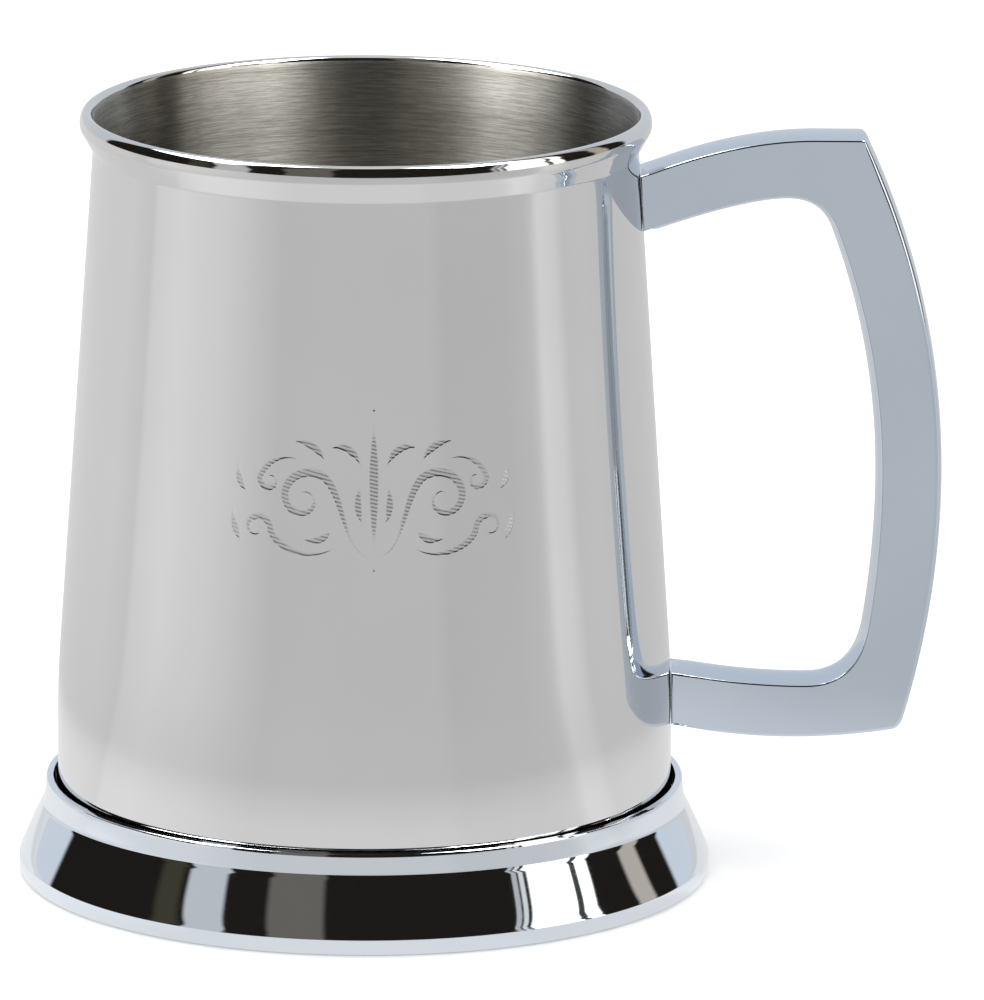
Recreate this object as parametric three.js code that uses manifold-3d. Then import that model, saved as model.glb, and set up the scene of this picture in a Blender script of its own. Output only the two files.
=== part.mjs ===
// Metal drinking tankard: a tapered drum with a rolled rim on a flared foot, and a solid D handle.
// Millimetres, +Z up. The origin is on the drum's axis, in the plane that the foot stands on.
// The handle points along +X.
import * as THREE from 'three';
import { mergeVertices } from 'three/addons/utils/BufferGeometryUtils.js';
import Module from 'manifold-3d';

// Whole object
const HEIGHT = 117.4;
const GAP = 0.3;
const TURN_SEGMENTS = 64;
const ARC_STEPS = 4;
const ROUND_STEPS = 2;

// Drum, a straight taper above a short upright part
const WALL_THICKNESS = 0.85;
const DRUM_RADIUS = 46.6;
const DRUM_BOTTOM_Z = 7.7;
const TAPER_START_Z = 23.4;
const TAPER_CONTROL_Z = 29.4;
const TAPER_END_Z = 35.4;
const NECK_RADIUS = 41.1;
const NECK_Z = 111;
const FLARE_ROOT_RADIUS = 41.3;
const FLARE_ROOT_Z = 112;
const FLARE_TIP_RADIUS = 42.78;
const FLARE_TIP_Z = 114.5;
const RIM_BEAD_HALF_WIDTH = 1.1;
const RIM_BEAD_HALF_HEIGHT = 1.8;
const RIM_OUTER_RADIUS = 43.05;
const RIM_BEAD_START_ANGLE = -18;
const RIM_BEAD_END_ANGLE = 180;
const RIM_BEAD_STEPS = 9;
const INNER_FLARE_Z = 109.9;
const INNER_FLARE_CONTROL_Z = 111.9;

// Floor of the cup
const FLOOR_BOTTOM_Z = 7.7;
const FLOOR_THICKNESS = 0.9;
const FLANGE_TOP_Z = 13.4;
const FLANGE_CORNER = 1.6;

// Foot ring
const FOOT_RADIUS = 52.5;
const FOOT_CONTACT_RADIUS = 51.5;
const BAND_LOW_Z = 0.9;
const BAND_TOP_Z = 2.3;
const FOOT_BORE_RADIUS = 44.3;
const FLARE_START_RADIUS = 52.35;
const FLARE_START_Z = 2.75;
const FLARE_CONTROL_RADIUS = 51.7;
const FLARE_CONTROL_Z = 4.75;
const CREASE_RADIUS = 48.7;
const CREASE_Z = 10.8;
const LIP_TOP_RADIUS = 48.3;
const LIP_TOP_Z = 14.5;
const LIP_ROUND = 0.25;
const LIP_BORE_RADIUS = 47.25;
const LEDGE_Z = 7.4;

// Plate under the foot
const BASE_PLATE_THICKNESS = 1.2;
const BASE_PLATE_CHAMFER = 0.3;

// Handle, seen from its side
const HANDLE_WIDTH = 9.3;
const INNER_CROWN = 0.9;
const OUTER_CROWN = 0.3;
const CROWN_STEPS = 4;
const GRIP_MID_Z = 61.4;
const GRIP_OUTER_X = 86.95;
const GRIP_INNER_X = 78.1;
const GRIP_OUTER_UPPER_RADIUS = 120.5;
const GRIP_OUTER_LOWER_RADIUS = 132;
const GRIP_INNER_UPPER_RADIUS = 108;
const GRIP_INNER_LOWER_RADIUS = 145;
const HANDLE_TOP_Z = 113.85;
const ARM_TOP_ROOT_Z = 108.2;
const ARM_TOP_CONTROL_X = 55.5;
const ARM_TOP_FLAT_X = 67.5;
const TOP_CORNER_X = 74.4;
const TOP_CORNER_Z = 113.8;
const GRIP_TOP_Z = 113.1;
const ARM_UNDER_ROOT_Z = 99.7;
const ARM_UNDER_CONTROL_X = 57.1;
const ARM_UNDER_FLAT_X = 63.4;
const ARM_UNDER_Z = 105.05;
const UPPER_INNER_CORNER_X = 69.4;
const UPPER_GRIP_START_Z = 99.4;
const LOWER_GRIP_END_Z = 39.4;
const LOWER_INNER_CORNER_X = 75.1;
const LOWER_ARM_TOP_Z = 29.5;
const LOWER_ARM_FLAT_X = 66.8;
const LOWER_ARM_CONTROL_X = 57;
const LOWER_ARM_ROOT_TOP_Z = 31.5;
const LOWER_ARM_ROOT_BOTTOM_Z = 23.3;
const LOWER_ARM_BOTTOM_Z = 19.85;
const LOWER_ARM_BOTTOM_X = 62.5;
const BOTTOM_CORNER_START_X = 79.9;
const BOTTOM_CORNER_START_Z = 22.55;
const BOTTOM_CORNER_X = 81.1;
const BOTTOM_CORNER_Z = 22.75;
const BOTTOM_CORNER_END_Z = 24.2;
const ARM_STEPS = 6;
const GRIP_STEPS = 6;
const CORNER_STEPS = 5;
const BOTTOM_CORNER_STEPS = 3;

// Studs that hold the handle
const STUD_RADIUS = 2;
const STUD_LENGTH = 9;
const STUD_SEGMENTS = 16;
const STUD_END_GAP = 0.1;
const BORE_OVERRUN = 1;
const UPPER_STUD_Z = 103.8;
const LOWER_STUD_Z = 27.4;

const steel = { color: 0xb9b7b2, roughness: 0.08, metalness: 1 };
const brushed = { color: 0x9a948a, roughness: 0.35, metalness: 1 };
const chrome = { color: 0xb6bfc8, roughness: 0.05, metalness: 1 };
const plain = { color: 0x8f9092, roughness: 0.45, metalness: 1 };

const wasm = await Module();
wasm.setup();

function named(name, geometry, look) {
  const mesh = new THREE.Mesh(geometry, new THREE.MeshStandardMaterial(look));
  mesh.name = name;
  return mesh;
}

function bare(geometry) {
  geometry.deleteAttribute('normal');
  geometry.deleteAttribute('uv');
  return mergeVertices(geometry, 1e-4);
}

function toSolid(geometry) {
  const clean = bare(geometry);
  const vertProperties = new Float32Array(clean.attributes.position.array);
  const triVerts = new Uint32Array(clean.index.array);
  return new wasm.Manifold(new wasm.Mesh({ numProp: 3, vertProperties, triVerts }));
}

function toGeometry(solid) {
  const mesh = solid.getMesh();
  const geometry = new THREE.BufferGeometry();
  geometry.setAttribute('position', new THREE.BufferAttribute(mesh.vertProperties, 3));
  geometry.setIndex(new THREE.BufferAttribute(mesh.triVerts, 1));
  return geometry;
}

function vec(x, y) {
  return new THREE.Vector2(x, y);
}

// Points of a quadratic curve, without its first point.
function bend(start, control, end, steps) {
  return new THREE.QuadraticBezierCurve(start, control, end).getPoints(steps).slice(1);
}

// The bead's section, an upright oval, from under its outer side over the top to its inner side.
function rimBead(centre) {
  const points = [];
  const sweep = RIM_BEAD_END_ANGLE - RIM_BEAD_START_ANGLE;
  for (let i = 0; i <= RIM_BEAD_STEPS; i += 1) {
    const angle = THREE.MathUtils.degToRad(RIM_BEAD_START_ANGLE + (sweep * i) / RIM_BEAD_STEPS);
    const across = RIM_BEAD_HALF_WIDTH * Math.cos(angle);
    const up = RIM_BEAD_HALF_HEIGHT * Math.sin(angle);
    points.push(vec(centre.x + across, centre.y + up));
  }
  return points;
}

// A closed profile, up the outside and down the inside, turned about the vertical axis.
function turned(profile) {
  const closed = [...profile, profile[0].clone()];
  const geometry = new THREE.LatheGeometry(closed, TURN_SEGMENTS);
  geometry.rotateX(Math.PI / 2);
  return bare(geometry);
}

// Outer radius of the drum's straight taper at a height.
function taperRadius(z) {
  const slope = (NECK_RADIUS - DRUM_RADIUS) / (NECK_Z - TAPER_CONTROL_Z);
  return DRUM_RADIUS + slope * (z - TAPER_CONTROL_Z);
}

function bodyWall() {
  const beadCentre = vec(RIM_OUTER_RADIUS - RIM_BEAD_HALF_WIDTH, HEIGHT - RIM_BEAD_HALF_HEIGHT);
  const outerLow = vec(DRUM_RADIUS, TAPER_START_Z);
  const outerBend = vec(DRUM_RADIUS, TAPER_CONTROL_Z);
  const outerHigh = vec(taperRadius(TAPER_END_Z), TAPER_END_Z);
  const innerLow = outerLow.clone().setX(outerLow.x - WALL_THICKNESS);
  const innerBend = outerBend.clone().setX(outerBend.x - WALL_THICKNESS);
  const innerHigh = outerHigh.clone().setX(outerHigh.x - WALL_THICKNESS);
  const innerNeck = vec(taperRadius(INNER_FLARE_Z) - WALL_THICKNESS, INNER_FLARE_Z);
  const rimInside = vec(beadCentre.x - RIM_BEAD_HALF_WIDTH, beadCentre.y);
  return turned([
    vec(DRUM_RADIUS, DRUM_BOTTOM_Z),
    outerLow,
    ...bend(outerLow, outerBend, outerHigh, ARC_STEPS),
    vec(NECK_RADIUS, NECK_Z),
    vec(FLARE_ROOT_RADIUS, FLARE_ROOT_Z),
    vec(FLARE_TIP_RADIUS, FLARE_TIP_Z),
    ...rimBead(beadCentre),
    ...bend(rimInside, vec(innerNeck.x, INNER_FLARE_CONTROL_Z), innerNeck, ARC_STEPS),
    innerHigh,
    ...bend(innerHigh, innerBend, innerLow, ARC_STEPS),
    vec(DRUM_RADIUS - WALL_THICKNESS, DRUM_BOTTOM_Z),
  ]);
}

function cupFloor() {
  const radius = DRUM_RADIUS - WALL_THICKNESS - GAP;
  const inner = radius - FLOOR_THICKNESS;
  const top = FLOOR_BOTTOM_Z + FLOOR_THICKNESS;
  const low = vec(radius - FLANGE_CORNER, FLOOR_BOTTOM_Z);
  const side = vec(radius, FLOOR_BOTTOM_Z + FLANGE_CORNER);
  const innerSide = vec(inner, top + FLANGE_CORNER);
  const innerLow = vec(inner - FLANGE_CORNER, top);
  const profile = [
    vec(0, FLOOR_BOTTOM_Z),
    low,
    ...bend(low, vec(radius, FLOOR_BOTTOM_Z), side, ARC_STEPS),
    vec(radius, FLANGE_TOP_Z),
    vec(inner, FLANGE_TOP_Z),
    innerSide,
    ...bend(innerSide, vec(inner, top), innerLow, ARC_STEPS),
    vec(0, top),
  ];
  const geometry = new THREE.LatheGeometry(profile, TURN_SEGMENTS);
  geometry.rotateX(Math.PI / 2);
  return bare(geometry);
}

function footRing() {
  const contact = vec(FOOT_CONTACT_RADIUS, 0);
  const bandLow = vec(FOOT_RADIUS, BAND_LOW_Z);
  const bandTop = vec(FOOT_RADIUS, BAND_TOP_Z);
  const flareStart = vec(FLARE_START_RADIUS, FLARE_START_Z);
  const crease = vec(CREASE_RADIUS, CREASE_Z);
  const lipSide = vec(LIP_TOP_RADIUS, LIP_TOP_Z - LIP_ROUND);
  const lipTop = vec(LIP_TOP_RADIUS - LIP_ROUND, LIP_TOP_Z);
  return turned([
    contact,
    ...bend(contact, vec(FOOT_RADIUS, 0), bandLow, ARC_STEPS),
    bandTop,
    flareStart,
    ...bend(flareStart, vec(FLARE_CONTROL_RADIUS, FLARE_CONTROL_Z), crease, 2 * ARC_STEPS),
    lipSide,
    ...bend(lipSide, vec(LIP_TOP_RADIUS, LIP_TOP_Z), lipTop, ROUND_STEPS),
    vec(LIP_BORE_RADIUS, LIP_TOP_Z),
    vec(LIP_BORE_RADIUS, LEDGE_Z),
    vec(FOOT_BORE_RADIUS, LEDGE_Z),
    vec(FOOT_BORE_RADIUS, 0),
  ]);
}

function basePlate() {
  const radius = FOOT_BORE_RADIUS - GAP;
  const profile = [
    vec(0, 0),
    vec(radius - BASE_PLATE_CHAMFER, 0),
    vec(radius, BASE_PLATE_CHAMFER),
    vec(radius, BASE_PLATE_THICKNESS),
    vec(0, BASE_PLATE_THICKNESS),
  ];
  const geometry = new THREE.LatheGeometry(profile, TURN_SEGMENTS);
  geometry.rotateX(Math.PI / 2);
  return bare(geometry);
}

// Points of a grip edge: x on a circle whose widest point is at the grip's middle height.
function gripEdge(widestX, radius, fromZ, toZ) {
  const points = [];
  for (let i = 0; i <= GRIP_STEPS; i += 1) {
    const z = fromZ + ((toZ - fromZ) * i) / GRIP_STEPS;
    points.push(vec(widestX - radius + Math.sqrt(radius ** 2 - (z - GRIP_MID_Z) ** 2), z));
  }
  return points;
}

// Where the handle's end meets the drum, with the working gap.
function endX(z) {
  return Math.min(taperRadius(z), DRUM_RADIUS) + GAP;
}

// The outer edge of the handle, from the drum along the top, down the grip and back to the drum.
function handleOutside() {
  const root = vec(endX(ARM_TOP_ROOT_Z), ARM_TOP_ROOT_Z);
  const flat = vec(ARM_TOP_FLAT_X, HANDLE_TOP_Z);
  const cornerStart = vec(BOTTOM_CORNER_START_X, BOTTOM_CORNER_START_Z);
  const lowerRoot = vec(endX(LOWER_ARM_ROOT_BOTTOM_Z), LOWER_ARM_ROOT_BOTTOM_Z);
  const upper = gripEdge(GRIP_OUTER_X, GRIP_OUTER_UPPER_RADIUS, GRIP_TOP_Z, GRIP_MID_Z);
  const lower = gripEdge(GRIP_OUTER_X, GRIP_OUTER_LOWER_RADIUS, GRIP_MID_Z, BOTTOM_CORNER_END_Z);
  const armControl = vec(LOWER_ARM_BOTTOM_X, LOWER_ARM_BOTTOM_Z);
  const gripEnd = lower[lower.length - 1];
  return [
    root,
    ...bend(root, vec(ARM_TOP_CONTROL_X, HANDLE_TOP_Z), flat, ARM_STEPS),
    vec(TOP_CORNER_X, TOP_CORNER_Z),
    ...upper,
    ...lower.slice(1),
    ...bend(gripEnd, vec(BOTTOM_CORNER_X, BOTTOM_CORNER_Z), cornerStart, BOTTOM_CORNER_STEPS),
    ...bend(cornerStart, armControl, lowerRoot, ARM_STEPS),
  ];
}

// The edge round the finger opening, from the drum under the lower arm's top, up the grip and back.
function handleInside() {
  const lowerRoot = vec(endX(LOWER_ARM_ROOT_TOP_Z), LOWER_ARM_ROOT_TOP_Z);
  const lowerFlat = vec(LOWER_ARM_FLAT_X, LOWER_ARM_TOP_Z);
  const lowerCorner = vec(LOWER_INNER_CORNER_X, LOWER_ARM_TOP_Z);
  const upperCorner = vec(UPPER_INNER_CORNER_X, ARM_UNDER_Z);
  const upperFlat = vec(ARM_UNDER_FLAT_X, ARM_UNDER_Z);
  const upperRoot = vec(endX(ARM_UNDER_ROOT_Z), ARM_UNDER_ROOT_Z);
  const low = gripEdge(GRIP_INNER_X, GRIP_INNER_LOWER_RADIUS, LOWER_GRIP_END_Z, GRIP_MID_Z);
  const high = gripEdge(GRIP_INNER_X, GRIP_INNER_UPPER_RADIUS, GRIP_MID_Z, UPPER_GRIP_START_Z);
  const lowerControl = vec(LOWER_ARM_CONTROL_X, LOWER_ARM_TOP_Z);
  return [
    lowerRoot,
    ...bend(lowerRoot, lowerControl, lowerFlat, ARM_STEPS),
    ...bend(lowerFlat, lowerCorner, low[0], CORNER_STEPS),
    ...low.slice(1),
    ...high.slice(1),
    ...bend(high[high.length - 1], upperCorner, upperFlat, CORNER_STEPS),
    ...bend(upperFlat, vec(ARM_UNDER_CONTROL_X, ARM_UNDER_Z), upperRoot, ARM_STEPS),
  ];
}

// Outward direction of each outline point, and none at the flat ends against the drum.
function outlineNormals(outline, ends) {
  return outline.map((point, i) => {
    if (ends.includes(i)) {
      return vec(0, 0);
    }
    const before = outline[(i + outline.length - 1) % outline.length];
    const after = outline[(i + 1) % outline.length];
    const along = after.clone().sub(before).normalize();
    return vec(-along.y, along.x);
  });
}

function isCounterClockwise(outline, [a, b, c]) {
  const first = outline[b].clone().sub(outline[a]);
  const second = outline[c].clone().sub(outline[a]);
  return first.cross(second) > 0;
}

// A slab whose edge faces swell by a crown across its width, in the XZ plane.
function crownedSlab(outline, normals, crowns, width) {
  const positions = [];
  const index = [];
  const count = outline.length;
  for (let layer = 0; layer <= CROWN_STEPS; layer += 1) {
    const side = (2 * layer) / CROWN_STEPS - 1;
    outline.forEach((point, i) => {
      const swell = crowns[i] * (1 - side * side);
      positions.push(point.x + normals[i].x * swell, (side * width) / 2, point.y + normals[i].y * swell);
    });
  }
  for (let layer = 0; layer < CROWN_STEPS; layer += 1) {
    for (let i = 0; i < count; i += 1) {
      const a = layer * count + i;
      const b = layer * count + ((i + 1) % count);
      index.push(a, b, b + count, a, b + count, a + count);
    }
  }
  const top = CROWN_STEPS * count;
  THREE.ShapeUtils.triangulateShape(outline, []).forEach((face) => {
    const [a, b, c] = isCounterClockwise(outline, face) ? face : face.toReversed();
    index.push(a, b, c);
    index.push(top + a, top + c, top + b);
  });
  const geometry = new THREE.BufferGeometry();
  geometry.setAttribute('position', new THREE.Float32BufferAttribute(positions, 3));
  geometry.setIndex(index);
  return geometry;
}

// A cylinder along X, from one distance to another.
function rod(radius, fromX, toX, z) {
  const geometry = new THREE.CylinderGeometry(radius, radius, toX - fromX, STUD_SEGMENTS);
  geometry.rotateZ(Math.PI / 2);
  geometry.translate((fromX + toX) / 2, 0, z);
  return geometry;
}

function handle() {
  const outside = handleOutside();
  const inside = handleInside();
  const outline = [...outside, ...inside];
  const ends = [0, outside.length - 1, outside.length, outline.length - 1];
  const crowns = outline.map((point, i) => (i < outside.length ? OUTER_CROWN : INNER_CROWN));
  const slab = crownedSlab(outline, outlineNormals(outline, ends), crowns, HANDLE_WIDTH);
  const body = toSolid(slab);
  const bores = [UPPER_STUD_Z, LOWER_STUD_Z].map((z) => {
    const bore = rod(STUD_RADIUS + GAP, endX(z) - BORE_OVERRUN, endX(z) + STUD_LENGTH + GAP, z);
    return toSolid(bore);
  });
  return toGeometry(body.subtract(bores[0]).subtract(bores[1]));
}

function stud(z) {
  return bare(rod(STUD_RADIUS, endX(z) + STUD_END_GAP, endX(z) + STUD_LENGTH, z));
}

const tankard = new THREE.Group();
tankard.add(named('body_wall', bodyWall(), steel));
tankard.add(named('cup_floor', cupFloor(), brushed));
tankard.add(named('foot_ring', footRing(), chrome));
tankard.add(named('base_plate', basePlate(), plain));
tankard.add(named('handle', handle(), chrome));
tankard.add(named('upper_handle_stud', stud(UPPER_STUD_Z), plain));
tankard.add(named('lower_handle_stud', stud(LOWER_STUD_Z), plain));

export default tankard;
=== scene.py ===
import math

import bpy
import numpy as np
from mathutils import Matrix, Vector


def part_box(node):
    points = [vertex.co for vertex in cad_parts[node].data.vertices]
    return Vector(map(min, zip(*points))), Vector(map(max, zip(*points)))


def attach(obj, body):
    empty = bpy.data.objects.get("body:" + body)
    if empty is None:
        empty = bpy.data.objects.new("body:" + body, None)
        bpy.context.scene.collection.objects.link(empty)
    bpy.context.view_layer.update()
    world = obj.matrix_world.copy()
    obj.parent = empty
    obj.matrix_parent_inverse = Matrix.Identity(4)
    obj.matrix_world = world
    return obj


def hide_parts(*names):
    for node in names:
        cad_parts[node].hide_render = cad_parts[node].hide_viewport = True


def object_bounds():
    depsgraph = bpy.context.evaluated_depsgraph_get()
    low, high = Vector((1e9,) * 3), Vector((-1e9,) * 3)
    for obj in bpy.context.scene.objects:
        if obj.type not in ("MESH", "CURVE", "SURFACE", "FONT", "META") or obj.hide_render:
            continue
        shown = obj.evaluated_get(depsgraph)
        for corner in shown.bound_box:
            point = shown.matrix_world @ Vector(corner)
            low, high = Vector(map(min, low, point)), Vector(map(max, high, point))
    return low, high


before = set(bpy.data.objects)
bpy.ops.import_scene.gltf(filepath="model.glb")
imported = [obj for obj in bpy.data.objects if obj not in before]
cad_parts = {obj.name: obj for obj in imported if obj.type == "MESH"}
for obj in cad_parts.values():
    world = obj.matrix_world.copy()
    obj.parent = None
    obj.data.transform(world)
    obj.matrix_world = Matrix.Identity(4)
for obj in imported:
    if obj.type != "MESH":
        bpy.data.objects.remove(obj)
CAD_LOW, CAD_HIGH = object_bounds()

MM = 0.001
TOP_Z = CAD_HIGH.z / MM
TAU = 2 * math.pi

# ---------------------------------------------------------------- profiles, millimetres
TURN_COLUMNS = 240
WALL = 0.85
DRUM_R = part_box("body_wall")[1].y / MM
DRUM_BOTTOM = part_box("body_wall")[0].z / MM
NECK = (41.1, 111.0)
RIM_R = 43.05
BEAD_HALF_WIDTH = 1.1
BEAD_HALF_HEIGHT = 1.8
FOOT_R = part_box("foot_ring")[1].y / MM
LIP_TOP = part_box("foot_ring")[1].z / MM
TAPER_FROM = 29.4
TAPER_LOW, TAPER_HIGH = 23.4, 35.4
TAPER_SLOPE = (NECK[0] - DRUM_R) / (NECK[1] - TAPER_FROM)


def taper(z):
    return DRUM_R + TAPER_SLOPE * (z - TAPER_FROM)


def bend(p0, p1, p2, steps, first=False):
    """Points of a quadratic curve, without its first point unless asked."""
    t = np.linspace(0, 1, steps + 1)[:, None]
    p0, p1, p2 = (np.array(p, float) for p in (p0, p1, p2))
    pts = (1 - t) ** 2 * p0 + 2 * t * (1 - t) * p1 + t ** 2 * p2
    return [tuple(p) for p in (pts if first else pts[1:])]


def bead(a0, a1, steps):
    """The rolled rim's section, an upright oval, from one angle to another."""
    a = np.radians(np.linspace(a0, a1, steps + 1))
    x = RIM_R - BEAD_HALF_WIDTH + BEAD_HALF_WIDTH * np.cos(a)
    z = TOP_Z - BEAD_HALF_HEIGHT + BEAD_HALF_HEIGHT * np.sin(a)
    return list(zip(x.tolist(), z.tolist()))


def line(p0, p1, step):
    """Points after p0 up to p1, a step apart."""
    n = max(1, round(math.dist(p0, p1) / step))
    return [
        (p0[0] + (p1[0] - p0[0]) * k / n, p0[1] + (p1[1] - p0[1]) * k / n)
        for k in range(1, n + 1)
    ]


def fillet(before, corner, after, radius, steps=5):
    """Rounds a profile's corner between two neighbouring points."""
    c = np.array(corner)
    a = np.array(before) - c
    b = np.array(after) - c
    a, b = a / np.linalg.norm(a), b / np.linalg.norm(b)
    half = math.acos(max(-1, min(1, float(a @ b)))) / 2
    reach = radius / math.tan(half)
    return bend(c + a * reach, c, c + b * reach, steps, first=True)


# ---------------------------------------------------------------- mesh helpers
def make_object(name, verts, faces, materials, index=None, sharp=30):
    mesh = bpy.data.meshes.new(name)
    mesh.from_pydata([tuple(v * MM for v in p) for p in verts], [], faces)
    mesh.validate()
    for m in materials:
        mesh.materials.append(m)
    mesh.polygons.foreach_set("use_smooth", [True] * len(mesh.polygons))
    if index is not None:
        mesh.polygons.foreach_set("material_index", index)
    mesh.set_sharp_from_angle(angle=math.radians(sharp))
    mesh.update()
    obj = bpy.data.objects.new(name, mesh)
    bpy.context.scene.collection.objects.link(obj)
    return obj


def revolve(name, profile, materials, closed=True, columns=TURN_COLUMNS, pick=None, sharp=30):
    """Turns a profile about Z. The profile runs up the outside; closed joins its ends."""
    verts, rows = [], []
    for r, z in profile:
        if r < 1e-6:
            rows.append([len(verts)] * columns)
            verts.append((0, 0, z))
            continue
        rows.append(list(range(len(verts), len(verts) + columns)))
        for i in range(columns):
            a = TAU * i / columns
            verts.append((r * math.cos(a), r * math.sin(a), z))
    faces, index = [], []
    count = len(rows) if closed else len(rows) - 1
    for j in range(count):
        low, high = rows[j], rows[(j + 1) % len(rows)]
        for i in range(columns):
            k = (i + 1) % columns
            face = [low[i], low[k], high[k], high[i]]
            face = [v for n, v in enumerate(face) if v not in face[:n]]
            faces.append(face)
            index.append(pick(j) if pick else 0)
    return make_object(name, verts, faces, materials, index, sharp)


# ---------------------------------------------------------------- materials
def new_material(name):
    m = bpy.data.materials.new(name)
    m.use_nodes = True
    m.node_tree.nodes.clear()
    return m


class Graph:
    """Short ways to add and join shader nodes."""

    def __init__(self, tree):
        self.t = tree

    def node(self, kind, **props):
        n = self.t.nodes.new(kind)
        for k, v in props.items():
            setattr(n, k, v)
        return n

    def put(self, socket, value):
        if hasattr(value, "is_linked"):
            self.t.links.new(value, socket)
        else:
            socket.default_value = value

    def math(self, op, a, b=0.0, clamp=False):
        n = self.node("ShaderNodeMath", operation=op, use_clamp=clamp)
        self.put(n.inputs[0], a)
        self.put(n.inputs[1], b)
        return n.outputs[0]

    def ramp(self, value, lo, hi, out_lo=0.0, out_hi=1.0):
        n = self.node("ShaderNodeMapRange", interpolation_type="SMOOTHSTEP")
        for s, v in zip(n.inputs, (value, lo, hi, out_lo, out_hi)):
            self.put(s, v)
        return n.outputs[0]

    def combine(self, x, y, z):
        n = self.node("ShaderNodeCombineXYZ")
        for s, v in zip(n.inputs, (x, y, z)):
            self.put(s, v)
        return n.outputs[0]

    def noise(self, vector, scale, detail=2.0, rough=0.5):
        n = self.node("ShaderNodeTexNoise")
        self.put(n.inputs["Vector"], vector)
        n.inputs["Scale"].default_value = scale
        n.inputs["Detail"].default_value = detail
        n.inputs["Roughness"].default_value = rough
        return n.outputs["Fac"]

    def mix(self, fac, a, b):
        n = self.node("ShaderNodeMix", data_type="RGBA")
        self.put(n.inputs[0], fac)
        self.put(n.inputs[6], (*a, 1.0) if isinstance(a, tuple) else a)
        self.put(n.inputs[7], (*b, 1.0) if isinstance(b, tuple) else b)
        return n.outputs[2]

    def place(self):
        """Object coordinates in millimetres: x, y, z, radius and angle about Z."""
        c = self.node("ShaderNodeTexCoord").outputs["Object"]
        s = self.node("ShaderNodeSeparateXYZ")
        self.put(s.inputs[0], c)
        x, y, z = (self.math("MULTIPLY", o, 1 / MM) for o in s.outputs)
        r = self.math("SQRT", self.math("ADD", self.math("MULTIPLY", x, x), self.math("MULTIPLY", y, y)))
        return x, y, z, r, self.math("ARCTAN2", y, x)

    def bump(self, height, distance, strength=1.0, normal=None):
        n = self.node("ShaderNodeBump")
        n.inputs["Distance"].default_value = distance
        n.inputs["Strength"].default_value = strength
        self.put(n.inputs["Height"], height)
        if normal is not None:
            self.put(n.inputs["Normal"], normal)
        return n.outputs["Normal"]

    def metal(self, colour, rough, normal=None, anisotropic=0.0, tangent=None):
        p = self.node("ShaderNodeBsdfPrincipled")
        p.inputs["Metallic"].default_value = 1.0
        self.put(p.inputs["Base Color"], (*colour, 1.0) if isinstance(colour, tuple) else colour)
        self.put(p.inputs["Roughness"], rough)
        if anisotropic:
            p.inputs["Anisotropic"].default_value = anisotropic
            p.inputs["Anisotropic Rotation"].default_value = 0.25
        if normal is not None:
            self.put(p.inputs["Normal"], normal)
        if tangent is not None:
            self.put(p.inputs["Tangent"], tangent)
        out = self.node("ShaderNodeOutputMaterial")
        self.put(out.inputs["Surface"], p.outputs[0])
        return p


def polished(name, colour, tint, rough, wave=0.0004):
    """Mirror-bright metal: faint clouding of the gloss, fine wiping marks and a slight waviness."""
    m = new_material(name)
    g = Graph(m.node_tree)
    x, y, z, r, a = g.place()
    at = g.combine(x, y, z)
    cloud = g.noise(at, 0.05, 3.0)
    marks = g.noise(g.combine(g.math("MULTIPLY", a, 18.0), g.math("MULTIPLY", z, 2.2), r), 1.4, 4.0, 0.65)
    shade = g.ramp(cloud, 0.35, 0.65)
    colour_out = g.mix(shade, colour, tint)
    gloss = g.math("ADD", rough, g.math("MULTIPLY", g.ramp(marks, 0.45, 0.75), rough * 0.8))
    normal = g.bump(g.noise(at, 0.11, 1.0), 1.0, wave)
    g.metal(colour_out, gloss, normal)
    return m


def engraved_polish(name, colour, tint, rough):
    """The drum's outside: as polished, with a duller, paler cut metal where it is engraved."""
    m = new_material(name)
    g = Graph(m.node_tree)
    x, y, z, r, a = g.place()
    at = g.combine(x, y, z)
    cut = g.node("ShaderNodeAttribute", attribute_name="engraved").outputs["Fac"]
    cloud = g.noise(at, 0.035, 3.0)
    marks = g.noise(g.combine(g.math("MULTIPLY", a, 14.0), g.math("MULTIPLY", z, 1.5), 0.0), 1.6, 4.0, 0.65)
    base = g.mix(g.ramp(cloud, 0.35, 0.65), colour, tint)
    base = g.mix(cut, base, tuple(c * 0.93 for c in colour))
    gloss = g.math("ADD", rough, g.math("MULTIPLY", g.ramp(marks, 0.45, 0.75), rough * 0.8))
    gloss = g.math("ADD", gloss, g.math("MULTIPLY", cut, 0.2))
    normal = g.bump(g.noise(at, 0.09, 1.0), 1.0, 0.0004)
    g.metal(base, gloss, normal)
    return m


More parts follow.
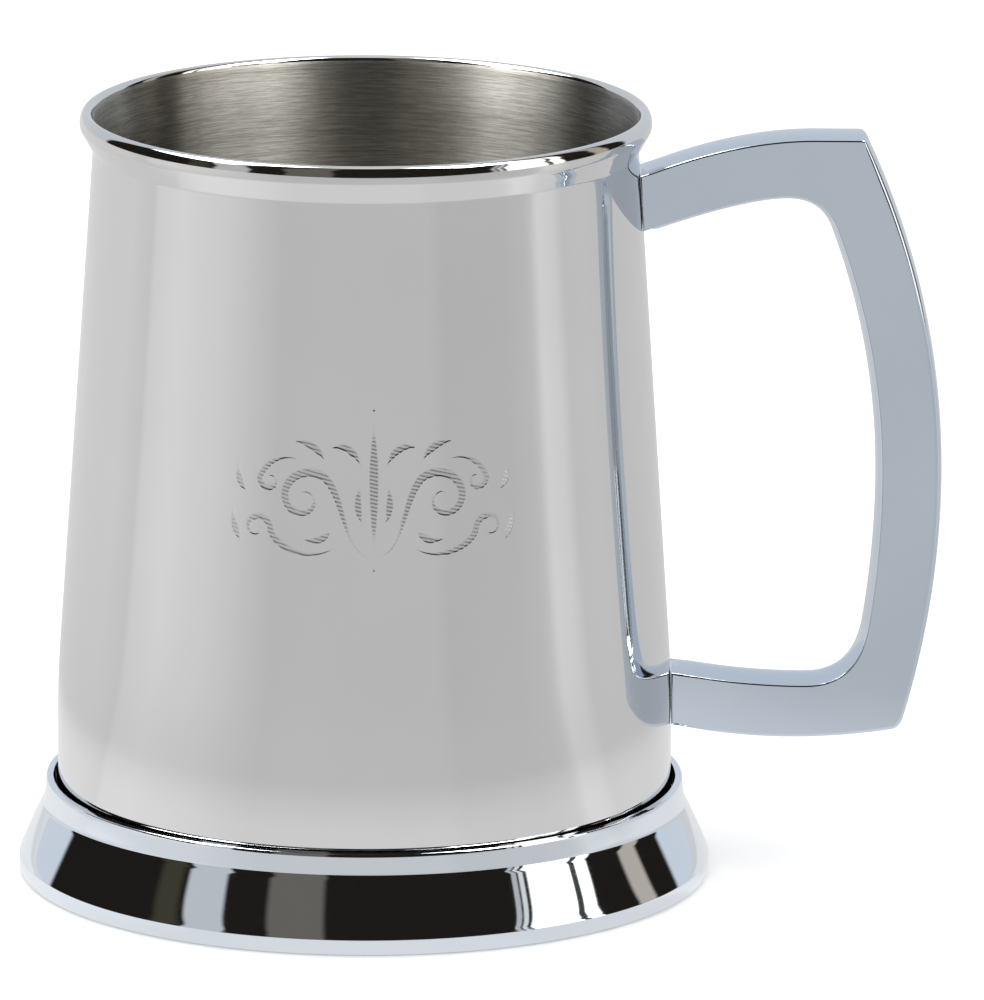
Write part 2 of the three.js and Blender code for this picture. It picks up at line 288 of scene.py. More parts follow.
def brushed(name, colour, tint, rough, grain=0.0001, anisotropic=0.75):
    """Metal brushed round the axis: long fine grooves along the turn, streaky gloss and shade."""
    m = new_material(name)
    g = Graph(m.node_tree)
    x, y, z, r, a = g.place()
    across = g.math("ADD", z, r)

    def grooves(turn, pitch, seed, detail, roughness):
        """Noise stretched round the turn; turn and pitch are its steps per radian and per mm."""
        at = g.combine(g.math("MULTIPLY", a, turn), g.math("MULTIPLY", across, pitch), seed)
        return g.noise(at, 1.0, detail, roughness)

    fine = grooves(8.0, 5.0, 0.0, 5.0, 0.75)
    long = grooves(1.2, 2.2, 3.7, 4.0, 0.6)
    cross = grooves(26.0, 0.12, 8.1, 3.0, 0.6)
    streak = g.math("ADD", g.math("MULTIPLY", fine, 0.75), g.math("MULTIPLY", long, 0.25))
    shade = g.mix(g.ramp(streak, 0.4, 0.6), colour, tint)
    gloss = g.math("ADD", rough - 0.08, g.math("MULTIPLY", g.math("ADD", streak, cross), 0.12))
    normal = g.bump(streak, 1.0, grain)
    tangent = g.node("ShaderNodeTangent", direction_type="RADIAL", axis="Z").outputs[0]
    g.metal(shade, gloss, normal, anisotropic, tangent)
    return m


STEEL = engraved_polish("drum_polish", (0.745, 0.748, 0.746), (0.73, 0.733, 0.731), 0.035)
RIM = polished("rim_polish", (0.745, 0.742, 0.732), (0.72, 0.718, 0.71), 0.05)
INSIDE = brushed("drum_inside", (0.64, 0.625, 0.585), (0.36, 0.347, 0.31), 0.37, 0.00018, 1.0)
FLOOR_METAL = brushed("floor_brush", (0.66, 0.63, 0.57), (0.56, 0.53, 0.475), 0.36)
FOOT = polished("foot_plating", (0.82, 0.87, 0.93), (0.8, 0.855, 0.92), 0.03)
HANDLE = polished("handle_plating", (0.64, 0.705, 0.795), (0.62, 0.69, 0.78), 0.07, 0.0006)
BASE = brushed("base_satin", (0.5, 0.5, 0.505), (0.42, 0.42, 0.43), 0.4)
STUD = brushed("stud_metal", (0.45, 0.455, 0.46), (0.38, 0.385, 0.39), 0.45)


# ---------------------------------------------------------------- drum
NECK_ROOT_Z = 110.4
NECK_CORNER = (41.12, 111.55)
NECK_ROUND = 0.9
FLARE_END = (42.55, 114.15)
FLARE_TIP = (42.78, 114.5)
BEAD_START, BEAD_END = -25, 180
INNER_NECK_Z = 109.9
INNER_FLARE_Z = 112.4
PATCH_LOW, PATCH_HIGH = 55.0, 82.6
PATCH_STEP = 1.15
PATCH_TURN = 10
PATCH_MID = math.radians(-90 + 1.7)
PATCH_HALF = math.radians(31.5)
CUT_DEPTH = 0.028
HATCH_PITCH = 0.56


def body_profile():
    """Three runs of (radius, z): up the outside, over the rim and down the inside."""
    low = fillet((DRUM_R, DRUM_BOTTOM + 3), (DRUM_R, DRUM_BOTTOM), (DRUM_R - 1, DRUM_BOTTOM), 0.15, 2)
    bend_top = (taper(TAPER_HIGH), TAPER_HIGH)
    patch_low, patch_high = (taper(PATCH_LOW), PATCH_LOW), (taper(PATCH_HIGH), PATCH_HIGH)
    neck_root = (taper(NECK_ROOT_Z), NECK_ROOT_Z)
    rim = bead(BEAD_START, BEAD_END, 26)
    outer = low[::-1] + line((DRUM_R, DRUM_BOTTOM + 0.2), (DRUM_R, TAPER_LOW), 1.6)
    outer += bend((DRUM_R, TAPER_LOW), (DRUM_R, TAPER_FROM), bend_top, 8)
    outer += line(bend_top, patch_low, 2.5)
    outer += line(patch_low, patch_high, PATCH_STEP)
    outer += line(patch_high, neck_root, 2.5)
    outer += fillet(neck_root, NECK_CORNER, FLARE_TIP, NECK_ROUND, 5)
    outer += line(outer[-1], FLARE_END, 0.8)
    outer += bend(FLARE_END, FLARE_TIP, rim[0], 4)[:-1]
    inner_r = DRUM_R - WALL
    inner_neck = (taper(INNER_NECK_Z) - WALL, INNER_NECK_Z)
    inner_bend_top = (bend_top[0] - WALL, TAPER_HIGH)
    inside = bend(rim[-1], (inner_neck[0] + 0.05, INNER_FLARE_Z), inner_neck, 8)
    inside += line(inner_neck, inner_bend_top, 4.0)
    inside += bend(inner_bend_top, (inner_r, TAPER_FROM), (inner_r, TAPER_LOW), 6)
    inside += line((inner_r, TAPER_LOW), (inner_r, DRUM_BOTTOM), 4.0)
    return outer, rim, inside


def bezier(points, n):
    t = np.linspace(0, 1, n)[:, None]
    a, b, c, d = (np.array(p, float) for p in points)
    return (1 - t) ** 3 * a + 3 * t * (1 - t) ** 2 * b + 3 * t ** 2 * (1 - t) * c + t ** 3 * d


def swelling(n, thin, thick, peak=0.5):
    """Width along a stroke that swells from thin to thick and back."""
    t = np.linspace(0, 1, n)
    u = np.where(t < peak, t / peak / 2, 0.5 + (t - peak) / (1 - peak) / 2)
    return thin + (thick - thin) * np.sin(math.pi * u) ** 1.5


def curl(cx, cz, r0, r1, a0, a1, n):
    """Points of a spiral from one radius and angle to another."""
    t = np.linspace(0, 1, n)
    r = r0 * (r1 / r0) ** t
    a = np.radians(a0 + (a1 - a0) * t)
    return np.stack([cx + r * np.cos(a), cz + r * np.sin(a)], 1)


def ornament():
    """Strokes of a symmetric scroll and leaf ornament, as (points, widths), round its own middle."""
    half = []
    main = np.concatenate([
        bezier([(0.9, -8.6), (4.6, -7.6), (4.4, 1.2), (7.6, 3.4)], 22)[:-1],
        curl(10.4, -0.2, 4.5, 1.0, 128, -300, 44),
    ])
    half.append((main, swelling(len(main), 0.22, 1.35, 0.38)))
    second = np.concatenate([
        bezier([(5.4, -7.0), (8.2, -9.4), (13.4, -8.6), (15.4, -5.4)], 18)[:-1],
        curl(17.6, -4.9, 2.3, 0.7, 190, -190, 30),
    ])
    half.append((second, swelling(len(second), 0.2, 1.1, 0.35)))
    third = np.concatenate([
        bezier([(11.2, 5.6), (13.6, 6.6), (16.4, 5.2), (17.2, 2.6)], 16)[:-1],
        curl(15.6, 2.4, 1.7, 0.55, 8, -330, 26),
    ])
    half.append((third, swelling(len(third), 0.2, 0.95, 0.35)))
    leaves = [
        [(1.6, 4.2), (2.6, 7.6), (5.0, 8.4), (6.6, 7.4)],
        [(7.2, 5.4), (8.0, 7.4), (10.0, 8.6), (12.4, 8.4)],
        [(6.2, -4.4), (7.0, -6.2), (8.8, -6.8), (10.8, -6.0)],
        [(19.2, 0.4), (20.4, 1.2), (21.0, 2.8), (20.6, 4.6)],
        [(19.8, -7.4), (20.8, -6.0), (21.6, -4.2), (21.4, -2.0)],
        [(1.5, -3.8), (2.5, -2.4), (2.7, 0.6), (1.7, 2.6)],
    ]
    for leaf in leaves:
        half.append((bezier(leaf, 16), swelling(16, 0.12, 1.15, 0.45)))
    strokes = []
    for pts, width in half:
        strokes.append((pts, width))
        strokes.append((pts * np.array([-1, 1]), width))
    stem = bezier([(0, -9.4), (0, -3.0), (0, 5.0), (0, 12.2)], 26)
    strokes.append((stem, swelling(26, 0.16, 1.5, 0.6)))
    for z, size in ((-10.6, 0.62), (13.3, 0.5)):
        strokes.append((np.array([(0, z - 0.02), (0, z + 0.02)]), np.array([size, size])))
    return strokes


ORNAMENT_Z = 67.7


def engraving(s, z):
    """Depth of the cut and how worn-matt it is, at distances s round the drum and heights z."""
    z = z - ORNAMENT_Z
    depth = np.zeros_like(s)
    matt = np.zeros_like(s)
    for pts, width in ornament():
        reach = width.max() / 2 + 0.3
        near = (
            (s > pts[:, 0].min() - reach) & (s < pts[:, 0].max() + reach)
            & (z > pts[:, 1].min() - reach) & (z < pts[:, 1].max() + reach)
        )
        if not near.any():
            continue
        ps, pz = s[near], z[near]
        best = np.full(len(ps), 9.0)
        wide = np.zeros(len(ps))
        for k in range(len(pts) - 1):
            a, b = pts[k], pts[k + 1]
            d = b - a
            t = np.clip(((ps - a[0]) * d[0] + (pz - a[1]) * d[1]) / max(d @ d, 1e-9), 0, 1)
            w = width[k] + (width[k + 1] - width[k]) * t
            q = np.hypot(ps - a[0] - t * d[0], pz - a[1] - t * d[1]) / (w / 2)
            wide = np.where(q < best, w, wide)
            best = np.minimum(best, q)
        inside = np.clip(1 - best, 0, 1)
        edge = np.clip((1 - best) * wide / 2 / 0.16, 0, 1)
        hatch = 0.5 + 0.5 * np.cos(TAU * (pz * 0.97 + ps * 0.24) / HATCH_PITCH)
        broad = np.clip((wide - 0.45) / 0.35, 0, 1)
        cut = edge * (1 - broad) * np.minimum(1, 2 * inside)
        cut = cut * 0.7 + edge * broad * (0.35 + 0.65 * hatch)
        depth[near] = np.maximum(depth[near], cut * (best < 1))
        matt[near] = np.maximum(matt[near], edge * (0.35 + 0.65 * broad) * (best < 1))
    return depth * CUT_DEPTH, matt


def drum():
    """The drum as one closed mesh, with small cells only where the ornament is cut."""
    outer, rim, inside = body_profile()
    rows = outer + rim + inside
    cols = TURN_COLUMNS
    turn = TAU / cols
    m = PATCH_TURN
    mean = taper(ORNAMENT_Z)

    def spot(i, j):
        a = i / m * turn
        row, part = divmod(j, m)
        r0, z0 = rows[row % len(rows)]
        r1, z1 = rows[(row + 1) % len(rows)]
        t = part / m
        return a, r0 + (r1 - r0) * t, z0 + (z1 - z0) * t

    patch_rows = [
        j for j, (r, z) in enumerate(rows[: len(outer)])
        if PATCH_LOW - 0.01 <= z < PATCH_HIGH - 0.01
    ]
    patch_cols = [i for i in range(cols) if abs((i + 0.5) * turn - TAU - PATCH_MID) < PATCH_HALF]
    cells = [(i, j) for i in patch_cols for j in patch_rows]
    grid = np.linspace(0, 1, 9)
    fine = set()
    for i, j in cells:
        u, v = np.meshgrid(grid, grid)
        s = ((i + u.ravel()) * turn - TAU - PATCH_MID) * mean
        z = rows[j][1] + (rows[j + 1][1] - rows[j][1]) * v.ravel()
        if engraving(s, z)[1].max() > 0:
            fine.add((i, j))

    ids, verts, keys = {}, [], []

    def vertex(i, j):
        key = (i % (cols * m), j % (len(rows) * m))
        if key not in ids:
            ids[key] = len(verts)
            a, r, z = spot(*key)
            verts.append((a, r, z))
        return ids[key]

    def between(i0, j0, i1, j1):
        """Lattice points from one corner towards the next, the last left out."""
        return [vertex(i0 + (i1 - i0) * k // m, j0 + (j1 - j0) * k // m) for k in range(m)]

    faces, index = [], []
    for j in range(len(rows)):
        look = 0 if j < len(outer) - 1 else (1 if j < len(outer) + len(rim) - 6 else 2)
        for i in range(cols):
            if (i, j) in fine:
                for u in range(m):
                    for v in range(m):
                        x, y = i * m + u, j * m + v
                        faces.append([vertex(x, y), vertex(x + 1, y), vertex(x + 1, y + 1), vertex(x, y + 1)])
                        index.append(look)
                continue
            c = [(i * m, j * m), ((i + 1) * m, j * m), ((i + 1) * m, (j + 1) * m), (i * m, (j + 1) * m)]
            beside = [(i, j - 1), ((i + 1) % cols, j), (i, j + 1), ((i - 1) % cols, j)]
            face = []
            for n in range(4):
                p, q = c[n], c[(n + 1) % 4]
                face += between(*p, *q) if beside[n] in fine else [vertex(*p)]
            faces.append(face)
            index.append(look)
    v = np.array(verts)
    a, r, z = v[:, 0], v[:, 1].copy(), v[:, 2]
    s = (a - TAU - PATCH_MID) * mean
    outside = (r > taper(z) - 0.2) & (z > PATCH_LOW) & (z < PATCH_HIGH) & (np.abs(s) < 30)
    depth = np.zeros(len(v))
    matt = np.zeros(len(v))
    depth[outside], matt[outside] = engraving(s[outside], z[outside])
    r -= depth
    points = np.stack([r * np.cos(a), r * np.sin(a), z], 1)
    obj = make_object("drum", points, faces, [STEEL, RIM, INSIDE], index, 40)
    layer = obj.data.attributes.new("engraved", "FLOAT", "POINT")
    layer.data.foreach_set("value", matt.astype(np.float32))
    return obj


# ---------------------------------------------------------------- foot, floor and base
FOOT_CONTACT_R = 51.5
BAND_LOW = (52.42, 0.7)
BAND_TOP = (52.46, 2.25)
FOOT_FLARE = (52.35, 2.75)
FOOT_FLARE_CONTROL = (51.7, 4.75)
CREASE = (48.7, 10.8)
LIP_SIDE_R = 48.3
LIP_EDGE_R = 47.4
LIP_BORE_R = 47.25
LEDGE_Z = 7.4
PLATE_GAP = 0.3


def foot_ring():
    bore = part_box("base_plate")[1].y / MM + PLATE_GAP
    lip_side = (LIP_SIDE_R + 0.02, LIP_TOP - 0.18)
    lip_edge = (LIP_EDGE_R, LIP_TOP + 0.08)
    prof = bend((FOOT_CONTACT_R, 0.0), (52.3, 0.0), BAND_LOW, 9, first=True)
    prof += line(BAND_LOW, (FOOT_R, 1.6), 0.4) + line((FOOT_R, 1.6), BAND_TOP, 0.4)
    prof += bend(BAND_TOP, (52.44, 2.55), FOOT_FLARE, 6)
    prof += bend(FOOT_FLARE, FOOT_FLARE_CONTROL, CREASE, 28)
    prof += line((CREASE[0] - 0.04, CREASE[1] + 0.1), lip_side, 0.5)
    prof += bend(lip_side, (LIP_SIDE_R, LIP_TOP), (LIP_SIDE_R - 0.2, LIP_TOP + 0.02), 4)
    prof += line(prof[-1], lip_edge, 0.4)
    prof += bend(lip_edge, (LIP_BORE_R, LIP_TOP + 0.08), (LIP_BORE_R, LIP_TOP - 0.1), 3)
    prof += [(LIP_BORE_R, LEDGE_Z), (bore, LEDGE_Z), (bore, 0.25), (bore + 0.25, 0.0)]
    return revolve("foot", prof, [FOOT], columns=320, sharp=20)


FLOOR_THICKNESS, FLOOR_CORNER = 0.9, 1.6


def cup_floor():
    low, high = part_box("cup_floor")
    r, z0, z1 = high.y / MM, low.z / MM, high.z / MM
    t, corner = FLOOR_THICKNESS, FLOOR_CORNER
    prof = [(0, z0)] + line((0, z0), (r - corner, z0), 6.0)
    prof += bend((r - corner, z0), (r, z0), (r, z0 + corner), 6)
    prof += line((r, z0 + corner), (r, z1 - 0.2), 2.0)
    prof += bend((r, z1 - 0.2), (r - t / 2, z1 + 0.1), (r - t, z1 - 0.2), 4)
    prof += line((r - t, z1 - 0.2), (r - t, z0 + t + corner), 2.0)
    prof += bend((r - t, z0 + t + corner), (r - t, z0 + t), (r - t - corner, z0 + t), 6)
    prof += line((r - t - corner, z0 + t), (0, z0 + t), 5.0)
    return revolve("inner_floor", prof, [FLOOR_METAL], closed=False)


def base_plate():
    low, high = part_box("base_plate")
    r, top = high.y / MM, high.z / MM
    prof = [(0, 0.0)] + line((0, 0.0), (r - 7.0, 0.0), 5.0)
    prof += [(r - 6.7, 0.18), (r - 6.2, 0.25), (r - 5.7, 0.18), (r - 5.4, 0.0)]
    prof += line((r - 5.4, 0.0), (r - 0.3, 0.0), 2.0)
    prof += bend((r - 0.3, 0.0), (r, 0.0), (r, 0.3), 4)
    prof += [(r, top - 0.15), (r - 0.15, top)] + line((r - 0.15, top), (0, top), 8.0)
    return revolve("base", prof, [BASE], closed=False, sharp=50)


# ---------------------------------------------------------------- handle
HANDLE_W = (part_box("handle")[1].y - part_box("handle")[0].y) / MM
GRIP_Z = 61.4
SEAT = 0.12
OUTER_CROWN, INNER_CROWN = 0.3, 0.9
GRIP_ROUND = 0.9
GRIP_OUTER_X, GRIP_INNER_X = 86.95, 78.1
TOP_FLAT = (67.5, 113.85)
TOP_CORNER = (75.0, 113.82)
LOW_CORNER = (79.9, 22.55)
UPPER_ROOT_Z = (108.2, 99.7)
LOWER_ROOT_Z = (31.5, 23.3)
UNDER_Z = 105.05
LOWER_TOP_Z = 29.5


def grip(widest, radius, z0, z1, steps):
    return [
        (widest - radius + math.sqrt(radius ** 2 - (z - GRIP_Z) ** 2), z)
        for z in np.linspace(z0, z1, steps + 1)
    ]


def end_x(z):
    return min(taper(z), DRUM_R) + SEAT


def handle_outline():
    """The outline in (x, z), clockwise from the upper root: the outer part and the inner part."""
    ends = [(end_x(z), z) for z in UPPER_ROOT_Z + LOWER_ROOT_Z]
    top = bend(ends[0], (55.5, TOP_FLAT[1]), TOP_FLAT, 18, first=True)
    outer_hi = grip(GRIP_OUTER_X, 120.5, 112.6, GRIP_Z, 30)
    outer_lo = grip(GRIP_OUTER_X, 132.0, GRIP_Z, 24.2, 22)
    corner = fillet(TOP_FLAT, TOP_CORNER, outer_hi[0], 0.95, 6)
    low_corner = bend(outer_lo[-1], (81.12, 22.72), LOW_CORNER, 8)
    bottom = bend(LOW_CORNER, (62.5, 19.85), ends[3], 24)
    out = top + line(TOP_FLAT, corner[0], 1.5) + corner[1:]
    out += outer_hi + outer_lo[1:] + low_corner + bottom
    inner_lo = grip(GRIP_INNER_X, 145.0, 39.4, GRIP_Z, 14)
    inner_hi = grip(GRIP_INNER_X, 108.0, GRIP_Z, 99.4, 22)
    inner = bend(ends[2], (57.0, LOWER_TOP_Z), (66.8, LOWER_TOP_Z), 16, first=True)
    inner += bend((66.8, LOWER_TOP_Z), (75.1, LOWER_TOP_Z), inner_lo[0], 16)
    inner += inner_lo[1:] + inner_hi[1:]
    inner += bend(inner_hi[-1], (69.4, UNDER_Z), (63.4, UNDER_Z), 16)
    inner += bend((63.4, UNDER_Z), (57.1, UNDER_Z), ends[1], 18)
    return out, inner


def offset_normals(points):
    """Outward directions, mitred so that an offset edge stays parallel."""
    p = np.array(points)
    before = p - np.roll(p, 1, 0)
    after = np.roll(p, -1, 0) - p
    before /= np.linalg.norm(before, axis=1)[:, None]
    after /= np.linalg.norm(after, axis=1)[:, None]
    n0 = np.stack([-before[:, 1], before[:, 0]], 1)
    n1 = np.stack([-after[:, 1], after[:, 0]], 1)
    n = n0 + n1
    n /= np.linalg.norm(n, axis=1)[:, None]
    return n / np.clip((n * n0).sum(1), 0.5, 1)[:, None]


def handle():
    """A slab with softly rounded long edges; its edge faces swell a little across the width."""
    out, inner = handle_outline()
    clean = []
    for k, p in enumerate(out + inner):
        if not clean or math.dist(p, clean[-1][0]) > 1e-4:
            clean.append((p, k < len(out)))
    p = np.array([c[0] for c in clean])
    outer = np.array([c[1] for c in clean])
    x, z = p[:, 0], p[:, 1]
    near_end = np.clip(np.array([a - end_x(b) for a, b in p]) / 1.5, 0, 1)
    crown = np.where(outer, OUTER_CROWN, INNER_CROWN) * near_end
    n = offset_normals([tuple(q) for q in p])
    half = HANDLE_W / 2
    soft = np.where(outer, 0.3, 0.28)
    soft = np.where(outer & (x > 75.5) & (z < 113.2), GRIP_ROUND, soft)
    soft = np.where(outer & (z < 30), 0.6, soft)
    ends = np.ones(7) / 7
    soft = np.convolve(np.concatenate([soft[-3:], soft, soft[:3]]), ends, "valid")
    layers = []
    turn = np.radians(np.linspace(0, 90, 8))
    for a in turn:
        layers.append((-half + soft * (1 - math.cos(a)), -soft * (1 - math.sin(a))))
    flat = half - soft
    for y in np.linspace(-1, 1, 15)[1:-1]:
        layers.append((flat * y, crown * (1 - y * y)))
    for a in turn[::-1]:
        layers.append((half - soft * (1 - math.cos(a)), -soft * (1 - math.sin(a))))
    verts = []
    for y, grow in layers:
        for k in range(len(p)):
            q = p[k] + n[k] * grow[k]
            across = float(y[k])
            x_out = math.sqrt(q[0] ** 2 - across ** 2) if near_end[k] == 0 else q[0]
            verts.append((x_out, across, q[1]))
    count = len(p)
    faces = []
    for j in range(len(layers) - 1):
        for k in range(count):
            a, b = j * count + k, j * count + (k + 1) % count
            faces.append((a, b, b + count, a + count))
    last = (len(layers) - 1) * count
    faces.append(tuple(range(count))[::-1])
    faces.append(tuple(last + k for k in range(count)))
    obj = make_object("d_handle", verts, faces, [HANDLE], sharp=40)
    for side in obj.data.polygons[-2:]:
        side.use_smooth = False
    return obj


# ---------------------------------------------------------------- build the object
def place(obj, body, slot, *nodes):
    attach(obj, body)
    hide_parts(*nodes)


place(drum(), "root", "drum_metal", "body_wall")
place(cup_floor(), "root", "floor_metal", "cup_floor")
place(foot_ring(), "root", "foot_plating", "foot_ring")
place(base_plate(), "root", "base_metal", "base_plate")
place(handle(), "root", "handle_plating", "handle")
for name in ("upper_handle_stud", "lower_handle_stud"):
    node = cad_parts[name]
    node.data.materials.clear()
    node.data.materials.append(STUD)


# ---------------------------------------------------------------- studio
def emission(name, build):
    m = new_material(name)
    g = Graph(m.node_tree)
    build(g)
    return m


def plane(name, size, z, material):
    mesh = bpy.data.meshes.new(name)
    h = size / 2
    mesh.from_pydata([(-h, -h, z), (h, -h, z), (h, h, z), (-h, h, z)], [], [(0, 1, 2, 3)])
    mesh.materials.append(material)
    obj = bpy.data.objects.new(name, mesh)
    bpy.context.scene.collection.objects.link(obj)
    return obj


def floor_paper(g):
    """White paper: seen from below it is clear, so that it doesn't hide the underside."""
    d = g.node("ShaderNodeBsdfDiffuse")
    d.inputs["Color"].default_value = (0.94, 0.94, 0.94, 1)
    clear = g.node("ShaderNodeBsdfTransparent")
    mix = g.node("ShaderNodeMixShader")
    g.put(mix.inputs[0], g.node("ShaderNodeNewGeometry").outputs["Backfacing"])
    g.put(mix.inputs[1], d.outputs[0])
    g.put(mix.inputs[2], clear.outputs[0])
    g.put(g.node("ShaderNodeOutputMaterial").inputs["Surface"], mix.outputs[0])


def bump_band(g, value, centre, half, edge):
    """1 within half of centre, easing to 0 over edge."""
    away = g.math("ABSOLUTE", g.math("SUBTRACT", value, centre))
    return g.ramp(away, half, half + edge, 1.0, 0.0)


# Painted light: brightness of the table as the metal sees it, by direction in degrees from the front.
TABLE_LIGHT = (
    (-128, 0.92), (-110, 0.93), (-97, 0.86), (-94, 0.97), (-80, 1.03), (-70, 0.98), (-60, 0.94),
    (-51, 0.877), (-42, 0.8), (-34, 0.743), (-20, 0.75), (25, 0.75), (31, 0.7), (57, 0.706),
    (67, 0.75), (70, 0.8), (74, 1.0), (82, 0.95), (87, 0.81), (99, 0.82), (112, 0.78), (128, 0.8),
)
LIGHT_LEVEL = 0.845


def painted_table_light(g):
    """Painted light for reflections: the table as the metal sees it, a glow painted bright close to the foot,
    then uneven by direction.
    """
    s = g.node("ShaderNodeSeparateXYZ")
    g.put(s.inputs[0], g.node("ShaderNodeTexCoord").outputs["Object"])
    x, y = s.outputs[0], s.outputs[1]
    az = g.math("DEGREES", g.math("ARCTAN2", x, g.math("MULTIPLY", y, -1.0)))
    dist = g.math("SQRT", g.math("ADD", g.math("MULTIPLY", x, x), g.math("MULTIPLY", y, y)))
    table = g.node("ShaderNodeValToRGB")
    stops = table.color_ramp.elements
    while len(stops) < len(TABLE_LIGHT):
        stops.new(0.5)
    for stop, (angle, light) in zip(stops, TABLE_LIGHT):
        stop.position = (angle + 180) / 360
        stop.color = (light / 2, light / 2, light / 2, 1)
    g.put(table.inputs[0], g.math("DIVIDE", g.math("ADD", az, 180.0), 360.0))
    # Painted light: the table's brightness by direction, evened out close to the foot, plus a painted pool of
    # light right by the foot.
    far = g.math("MULTIPLY", table.outputs[0], 2.0)
    calm = g.math("MULTIPLY", g.ramp(dist, 0.12, 0.45, 0.4, 0.0), g.math("SUBTRACT", 0.78, far))
    near = g.ramp(dist, 0.105, 0.15, 0.18, 0.0)
    level = g.math("ADD", g.math("ADD", far, calm), near)
    e = g.node("ShaderNodeEmission")
    e.inputs["Color"].default_value = (1.0, 1.0, 1.0, 1)
    g.put(e.inputs["Strength"], g.math("MULTIPLY", level, LIGHT_LEVEL))
    g.put(g.node("ShaderNodeOutputMaterial").inputs["Surface"], e.outputs[0])


plane("paper", 12.0, -0.0001, emission("paper_white", floor_paper)).visible_glossy = False
# A glowing sheet seen only in reflections, no lamp: painted light standing in for the lit table.
glow = plane("painted_table_glow", 8.0, -0.0002, emission("painted_table_glow", painted_table_light))
glow.visible_camera = False
glow.visible_diffuse = False
glow.visible_shadow = False


# Upright strips of the room: middle and half width in degrees from the front, soft edge, colour.
DARK_ROOM = (0.016, 0.013, 0.011)
ROOM_STRIPS = (
    (-25.0, 9.0, 3.0, (0.17, 0.155, 0.135)),
    (-61.0, 7.0, 2.5, (0.66, 0.67, 0.69)),
    (-77.0, 3.0, 4.0, (0.06, 0.055, 0.035)),
    (58.5, 0.7, 0.8, (0.6, 0.6, 0.6)),
    (61.5, 0.6, 0.8, (0.9, 0.9, 0.9)),
    (78.5, 13.5, 1.5, (2.2, 2.15, 2.05)),
    (85.5, 1.0, 0.8, (0.06, 0.06, 0.06)),
    (115.0, 3.2, 2.5, (0.6, 0.53, 0.45)),
)
BACKDROP = (0.78, 0.83, 0.89)
LEFT_BOX = (14.0, 13.9, 13.6)
RIGHT_BOX = (18.0, 17.8, 17.4)
STRIP_LOW, STRIP_MIDDLE, STRIP_HIGH = 18.0, 31.0, 42.0
STRIP_LEAN = 0.5


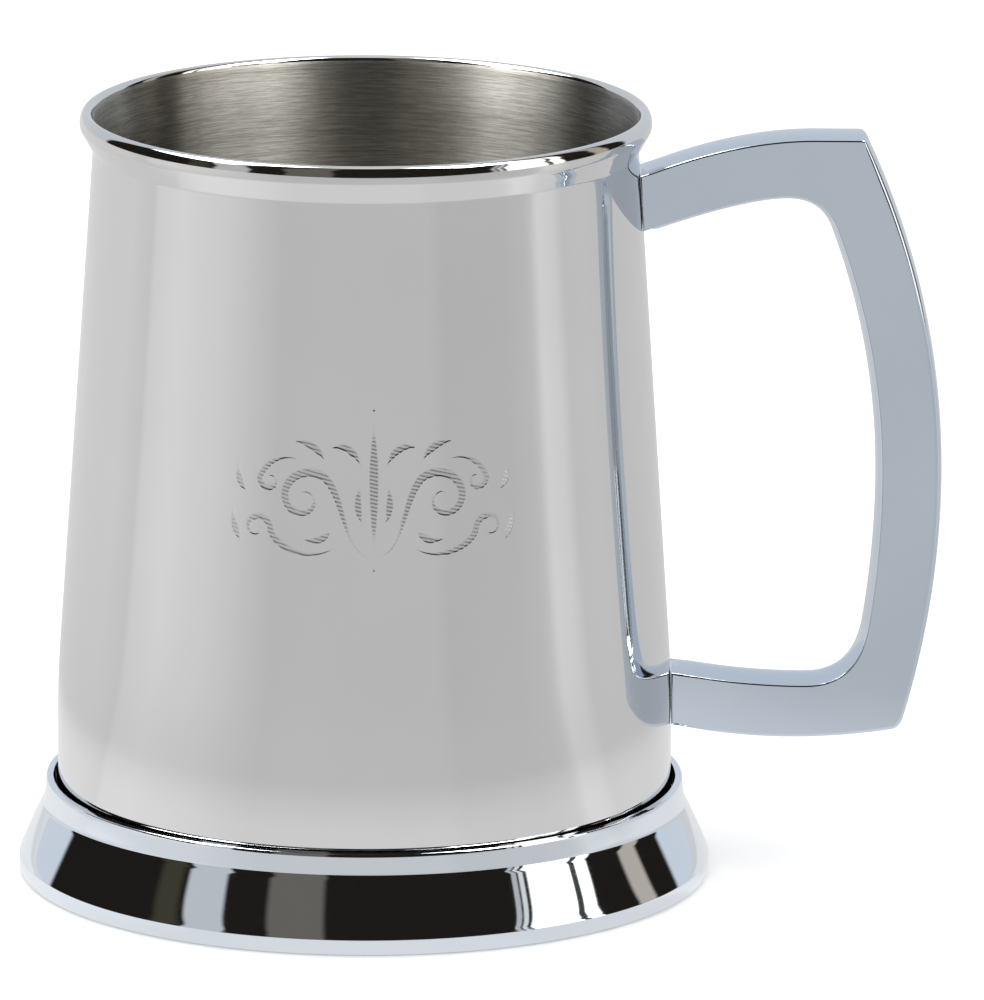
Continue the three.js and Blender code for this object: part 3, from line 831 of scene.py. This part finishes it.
def studio_world():
    """A white sweep behind and overhead, and a dark room in front with a few soft boxes."""
    w = bpy.data.worlds.new("studio")
    w.use_nodes = True
    w.node_tree.nodes.clear()
    g = Graph(w.node_tree)
    s = g.node("ShaderNodeSeparateXYZ")
    g.put(s.inputs[0], g.node("ShaderNodeTexCoord").outputs["Generated"])
    x, y, z = s.outputs
    az = g.math("DEGREES", g.math("ARCTAN2", x, g.math("MULTIPLY", y, -1.0)))
    el = g.math("DEGREES", g.math("ARCSINE", z))
    behind = g.ramp(g.math("ABSOLUTE", az), 125.0, 128.0)
    above = g.ramp(el, 72.0, 82.0)
    lift = g.math("SUBTRACT", g.math("MINIMUM", g.math("MAXIMUM", el, STRIP_LOW), STRIP_HIGH), STRIP_MIDDLE)
    side = g.math("MINIMUM", g.math("MAXIMUM", g.math("DIVIDE", az, 60.0), -1.0), 1.0)
    lean = g.math("SUBTRACT", az, g.math("MULTIPLY", g.math("MULTIPLY", lift, side), STRIP_LEAN))
    room = DARK_ROOM
    for centre, half, edge, colour in ROOM_STRIPS:
        room = g.mix(bump_band(g, lean, centre, half, edge), room, colour)
    right_box = g.math("MULTIPLY", bump_band(g, az, 68.0, 16.0, 5.0), g.ramp(el, 46.0, 52.0))
    room = g.mix(right_box, room, RIGHT_BOX)
    left_box = g.math("MULTIPLY", bump_band(g, az, -95.0, 25.0, 5.0), g.ramp(el, 38.0, 44.0))
    room = g.mix(left_box, room, LEFT_BOX)
    colour = g.mix(behind, room, BACKDROP)
    colour = g.mix(above, colour, (1.0, 1.0, 1.0))
    path = g.node("ShaderNodeLightPath")
    glossy = g.node("ShaderNodeBackground")
    g.put(glossy.inputs["Color"], colour)
    glossy.inputs["Strength"].default_value = LIGHT_LEVEL
    soft = g.node("ShaderNodeBackground")
    soft.inputs["Color"].default_value = (1.0, 1.0, 1.0, 1)
    soft.inputs["Strength"].default_value = 1.4
    seen = g.node("ShaderNodeBackground")
    seen.inputs["Color"].default_value = (0.96, 0.96, 0.965, 1)
    first = g.node("ShaderNodeMixShader")
    g.put(first.inputs[0], path.outputs["Is Glossy Ray"])
    g.put(first.inputs[1], soft.outputs[0])
    g.put(first.inputs[2], glossy.outputs[0])
    second = g.node("ShaderNodeMixShader")
    g.put(second.inputs[0], path.outputs["Is Camera Ray"])
    g.put(second.inputs[1], first.outputs[0])
    g.put(second.inputs[2], seen.outputs[0])
    g.put(g.node("ShaderNodeOutputWorld").inputs["Surface"], second.outputs[0])
    bpy.context.scene.world = w


studio_world()
bpy.context.scene.view_settings.view_transform = "Standard"

# ---------------------------------------------------------------- camera
CAM_TARGET_Z = 0.0574
CAM_DISTANCE = 1.8539
CAM_ELEVATION = 0.23217
CAM_PITCH = 0.23228
CAM_PAN = 0.01065
CAM_ROLL = 0.00488
CAM_LENS = 440.9
camera = bpy.data.objects.new("camera", bpy.data.cameras.new("camera"))
camera.data.lens = CAM_LENS
camera.data.sensor_width = 36.0
camera.data.clip_start = 0.1
camera.data.clip_end = 50.0
forward = Vector((
    math.sin(CAM_PAN) * math.cos(CAM_PITCH),
    math.cos(CAM_PAN) * math.cos(CAM_PITCH),
    -math.sin(CAM_PITCH),
))
right = forward.cross(Vector((0, 0, 1))).normalized()
up = right.cross(forward)
right, up = (
    right * math.cos(CAM_ROLL) + up * math.sin(CAM_ROLL),
    up * math.cos(CAM_ROLL) - right * math.sin(CAM_ROLL),
)
mid = Vector((0, 0, CAM_TARGET_Z))
eye = mid + Vector((0, -math.cos(CAM_ELEVATION), math.sin(CAM_ELEVATION))) * CAM_DISTANCE
turn = Matrix((right, up, -forward)).transposed().to_4x4()
camera.matrix_world = Matrix.Translation(eye) @ turn
bpy.context.scene.collection.objects.link(camera)
bpy.context.scene.camera = camera
